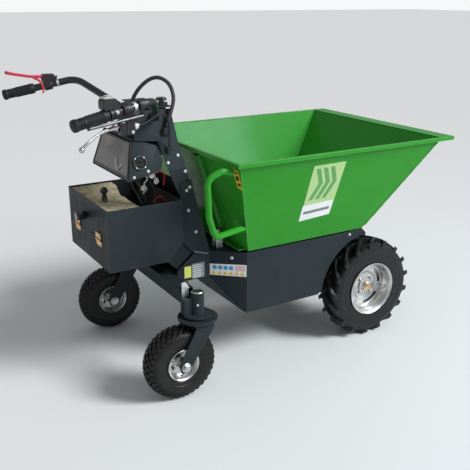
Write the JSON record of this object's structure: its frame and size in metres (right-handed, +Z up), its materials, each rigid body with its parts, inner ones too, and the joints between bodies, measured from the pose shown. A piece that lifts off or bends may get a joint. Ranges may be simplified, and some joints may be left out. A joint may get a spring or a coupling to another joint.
{
  "type": "power wheelbarrow",
  "caption": "Walk-behind electric wheelbarrow with a tipping steel hopper, driven front wheels, swivelling rear castors and a leaning control column with handlebar",
  "frame": {"origin": "on the floor, under the middle of the overall box", "axes": "+X forward to the tipping lip, +Y to the operator's left, +Z up"},
  "size_m": [1.5003, 0.812, 1.0668],
  "materials": {
    "green_paint": "gloss powder coat",
    "dark_paint": "satin powder coat",
    "galvanised": "zinc plate",
    "steel": "turned",
    "silver_rim": "painted rim",
    "tyre": "moulded tread",
    "black_plastic": "textured",
    "gloss_panel": "polished",
    "grip_rubber": "soft grip",
    "white_plastic": "sealed case",
    "tan_wrap": "wrapped battery",
    "red_paint": "gloss lever",
    "brass": "hinge",
    "hose_rubber": "ribbed sleeve"
  },
  "bodies": {
    "chassis": {"axle_frame": "dark_paint", "battery_box": "dark_paint", "box_battery": "tan_wrap", "box_hinges": "brass", "brake_cable": "hose_rubber", "brake_perch": "black_plastic", "castor_posts": "galvanised", "charging_socket": "black_plastic", "chassis_deck": "dark_paint", "chassis_floor": "dark_paint", "chassis_side_left": "dark_paint", "chassis_side_right": "dark_paint", "column_arms": "dark_paint", "column_base": "dark_paint", "column_bolts": "steel", "column_lid": "dark_paint", "column_plates": "dark_paint", "console_housing": "dark_paint", "console_panel": "gloss_panel", "deck_buffers": "grip_rubber", "drive_motor": "dark_paint", "handlebar": "dark_paint", "hopper_pivot_pins": "steel", "hose_loop": "hose_rubber", "latch_bracket": "galvanised", "left_grip": "grip_rubber", "motor_controller": "black_plastic", "parking_perch": "black_plastic", "post_caps": "steel", "rear_beam": "dark_paint", "tail_panels": "dark_paint", "traction_batteries": "white_plastic", "transaxle_case": "dark_paint"},
    "hopper": {"hopper_shell": "green_paint", "hopper_rim": "green_paint", "hopper_handle": "green_paint", "hopper_brackets": "green_paint"},
    "throttle": {"throttle_grip": "grip_rubber"},
    "brake": {"brake_lever": "steel"},
    "parking": {"parking_lever": "red_paint"},
    "bail": {"bail_lever": "black_plastic"},
    "selector": {"selector_lever": "black_plastic"},
    "stop": {"stop_button": "black_plastic"},
    "flap": {"box_flap": "dark_paint", "flap_knob": "black_plastic"},
    "latch": {"latch_lever": "steel"},
    "drive_wheel_left": {"drive_shaft_left": "steel", "drive_rim_left": "silver_rim", "drive_tyre_left": "tyre"},
    "castor_swivel_left": {"castor_fork_left": "dark_paint", "castor_axle_left": "steel"},
    "castor_wheel_left": {"castor_rim_left": "silver_rim", "castor_tyre_left": "tyre"},
    "drive_wheel_right": {"drive_shaft_right": "steel", "drive_rim_right": "silver_rim", "drive_tyre_right": "tyre"},
    "castor_swivel_right": {"castor_fork_right": "dark_paint", "castor_axle_right": "steel"},
    "castor_wheel_right": {"castor_rim_right": "silver_rim", "castor_tyre_right": "tyre"}
  },
  "joints": [
    {"name": "hopper_tip", "type": "hinge", "parent": "chassis", "child": "hopper", "pos_m": [0.455, 0, 0.432], "axis": [0, 1, 0], "range_deg": [0, 80]},
    {"name": "drive_spin_left", "type": "hinge", "parent": "chassis", "child": "drive_wheel_left", "pos_m": [0.478, 0.25, 0.2], "axis": [0, 1, 0], "continuous": true},
    {"name": "castor_swivel_left", "type": "hinge", "parent": "chassis", "child": "castor_swivel_left", "pos_m": [-0.331, 0.319, 0.283], "axis": [0, 0, 1], "continuous": true},
    {"name": "castor_spin_left", "type": "hinge", "parent": "castor_swivel_left", "child": "castor_wheel_left", "pos_m": [-0.406, 0.319, 0.1305], "axis": [0, 1, 0], "continuous": true},
    {"name": "drive_spin_right", "type": "hinge", "parent": "chassis", "child": "drive_wheel_right", "pos_m": [0.478, -0.25, 0.2], "axis": [0, 1, 0], "continuous": true},
    {"name": "castor_swivel_right", "type": "hinge", "parent": "chassis", "child": "castor_swivel_right", "pos_m": [-0.331, -0.319, 0.283], "axis": [0, 0, 1], "continuous": true},
    {"name": "castor_spin_right", "type": "hinge", "parent": "castor_swivel_right", "child": "castor_wheel_right", "pos_m": [-0.406, -0.319, 0.1305], "axis": [0, 1, 0], "continuous": true},
    {"name": "throttle_twist", "type": "hinge", "parent": "chassis", "child": "throttle", "pos_m": [-0.746, -0.377, 0.976], "axis": [0.9737, 0.1354, 0.183], "range_deg": [0, 60], "stiffness_Nm_per_rad": 0.4},
    {"name": "brake_pull", "type": "hinge", "parent": "chassis", "child": "brake", "pos_m": [-0.58476, -0.35332, 0.962], "axis": [0, 1, 0], "range_deg": [0, 9], "stiffness_Nm_per_rad": 3},
    {"name": "parking_pull", "type": "hinge", "parent": "chassis", "child": "parking", "pos_m": [-0.5914, 0.3548, 1.034], "axis": [0, 1, 0], "range_deg": [-15, 0]},
    {"name": "bail_squeeze", "type": "hinge", "parent": "chassis", "child": "bail", "pos_m": [-0.52256, -0.36592, 0.991], "axis": [0, 1, 0], "range_deg": [0, 6], "stiffness_Nm_per_rad": 1},
    {"name": "selector_tilt", "type": "hinge", "parent": "chassis", "child": "selector", "pos_m": [-0.505, 0.047, 0.632], "axis": [0, 1, 0], "range_deg": [-15, 15]},
    {"name": "stop_press", "type": "slide", "parent": "chassis", "child": "stop", "axis": [0, 0, -1], "range_m": [0, 0.004], "stiffness_N_per_m": 1500},
    {"name": "flap_open", "type": "hinge", "parent": "chassis", "child": "flap", "pos_m": [-0.591, 0, 0.541], "axis": [0, 1, 0], "range_deg": [-90, 0]},
    {"name": "latch_swing", "type": "hinge", "parent": "chassis", "child": "latch", "pos_m": [-0.155, -0.152, 0.474], "axis": [0, 1, 0], "range_deg": [0, 75]}
  ]
}
